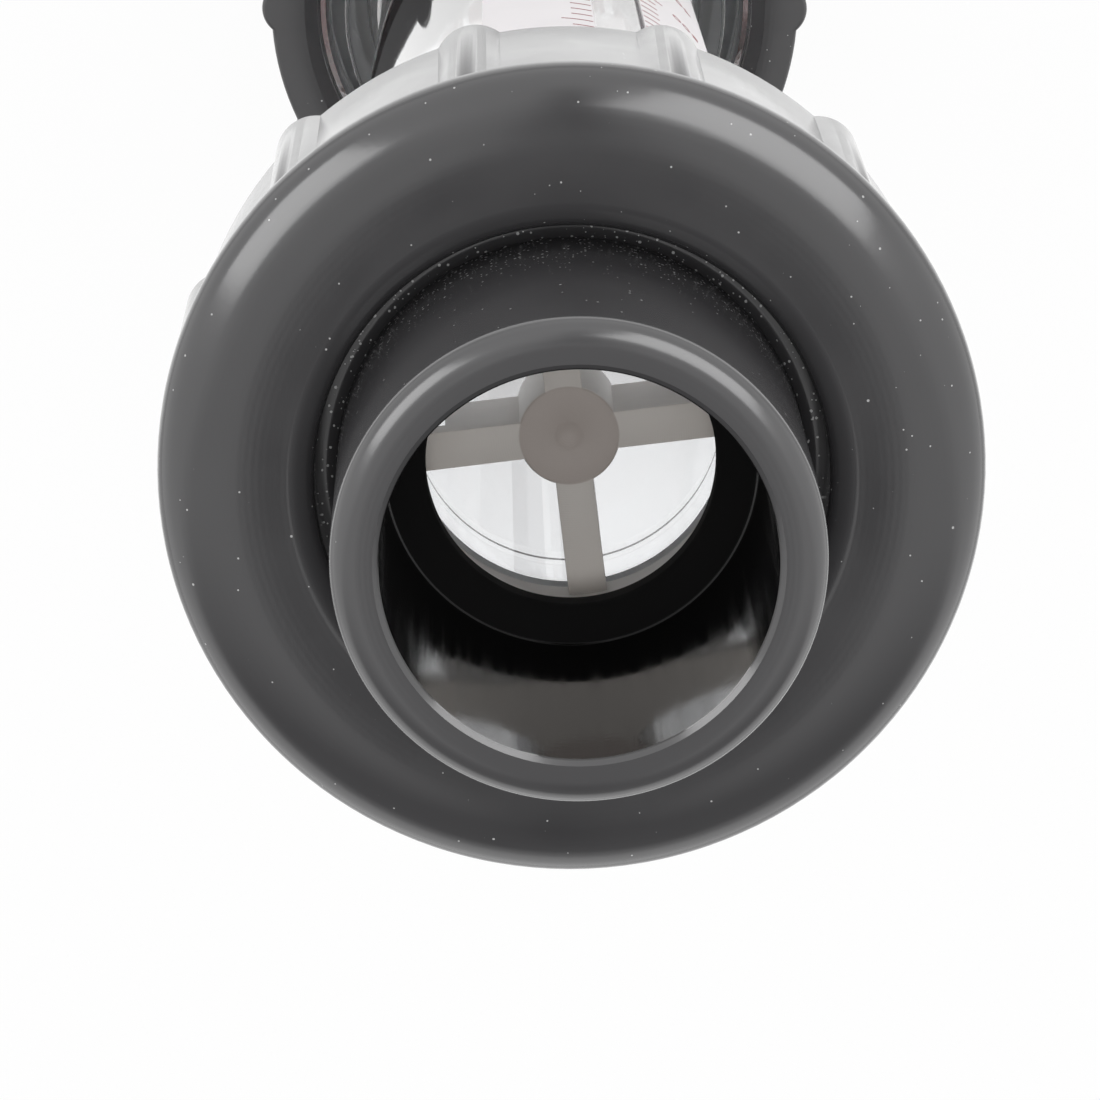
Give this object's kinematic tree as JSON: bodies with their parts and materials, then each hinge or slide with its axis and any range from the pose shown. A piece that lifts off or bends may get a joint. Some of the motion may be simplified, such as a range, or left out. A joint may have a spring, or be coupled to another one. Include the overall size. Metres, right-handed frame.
{
  "type": "tube flow meter",
  "caption": "Upright variable-area flow meter: a clear tapered tube with a float and a printed scale, clamped between pipe sockets by lugged union nuts.",
  "frame": {"origin": "centre of the inlet connector's mouth, on the plane that the meter stands on", "axes": "+Z along the tube, the way of the flow; -Y is the front, where the scale is; X to the right of the front"},
  "size_m": [0.0708, 0.0708, 0.349],
  "materials": {
    "dark_pvc": "dark grey moulded plastic, half gloss",
    "seal_rubber": "black rubber",
    "stop_plastic": "off-white moulded plastic",
    "clear_tube": "clear and polished",
    "float_plastic": "dark red, turned",
    "scale_film": "white film"
  },
  "bodies": {
    "meter_body": {"metering_tube": "clear_tube", "scale_film": "scale_film", "inlet_connector": "dark_pvc", "inlet_o_ring": "seal_rubber", "inlet_float_stop": "stop_plastic", "outlet_connector": "dark_pvc", "outlet_o_ring": "seal_rubber", "outlet_float_stop": "stop_plastic"},
    "float": {"float": "float_plastic"},
    "inlet_nut": {"inlet_union_nut": "dark_pvc"},
    "outlet_nut": {"outlet_union_nut": "dark_pvc"}
  },
  "joints": [
    {"name": "float_slide", "type": "slide", "parent": "meter_body", "child": "float", "axis": [0, 0, 1], "range_m": [0, 0.1987]},
    {"name": "inlet_nut_turn", "type": "hinge", "parent": "meter_body", "child": "inlet_nut", "pos_m": [0, 0, 0.04445], "axis": [0, 0, -1], "range_deg": [0, 1260]},
    {"name": "outlet_nut_turn", "type": "hinge", "parent": "meter_body", "child": "outlet_nut", "pos_m": [0, 0, 0.30455], "axis": [0, 0, 1], "range_deg": [0, 1260]}
  ]
}
